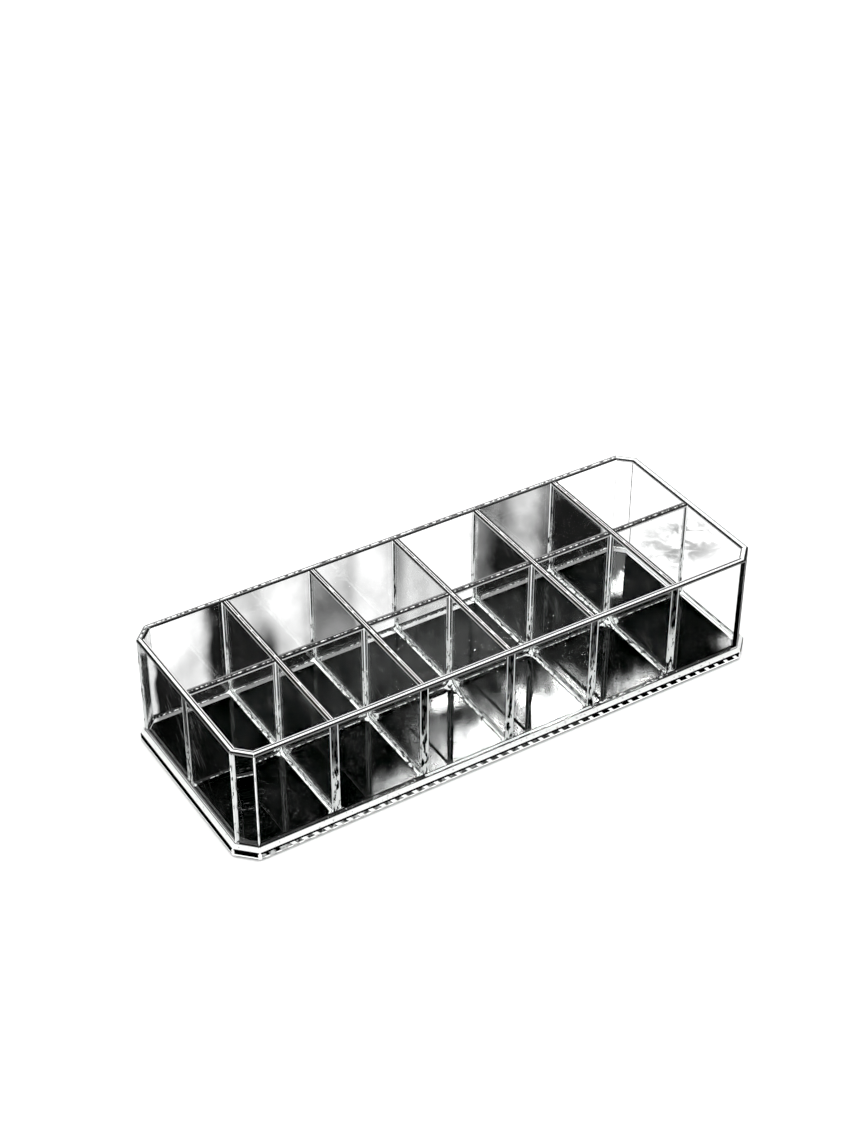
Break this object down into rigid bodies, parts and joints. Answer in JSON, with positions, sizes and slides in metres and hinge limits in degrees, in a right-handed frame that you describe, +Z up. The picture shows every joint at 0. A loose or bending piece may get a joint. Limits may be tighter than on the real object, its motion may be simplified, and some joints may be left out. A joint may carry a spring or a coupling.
{
  "type": "vanity organizer",
  "caption": "Low clear acrylic vanity organizer: a chamfer-cornered case divided into rows of open compartments, on a ledged base plate with a black pad.",
  "frame": {"origin": "on the surface the pad stands on, under the middle of the case", "axes": "+X along the case to the right, +Y to the back, +Z up through the open top"},
  "size_m": [0.248, 0.096, 0.052],
  "materials": {
    "wall_sheet": "clear cast acrylic sheet, polished faces and edges",
    "divider_sheet": "clear cast acrylic sheet, polished faces, cut edges",
    "base_plate": "clear cast acrylic plate, its sloping edge ground matt",
    "pad": "matt black, closed-cell"
  },
  "bodies": {
    "root": {"base_plate": "base_plate", "base_pad": "pad", "front_panel": "wall_sheet", "front_right_corner": "wall_sheet", "right_end_panel": "wall_sheet", "back_right_corner": "wall_sheet", "back_panel": "wall_sheet", "back_left_corner": "wall_sheet", "left_end_panel": "wall_sheet", "front_left_corner": "wall_sheet", "long_divider": "divider_sheet", "cross_divider_1": "divider_sheet", "cross_divider_2": "divider_sheet", "cross_divider_3": "divider_sheet", "cross_divider_4": "divider_sheet", "cross_divider_5": "divider_sheet"}
  },
  "joints": []
}
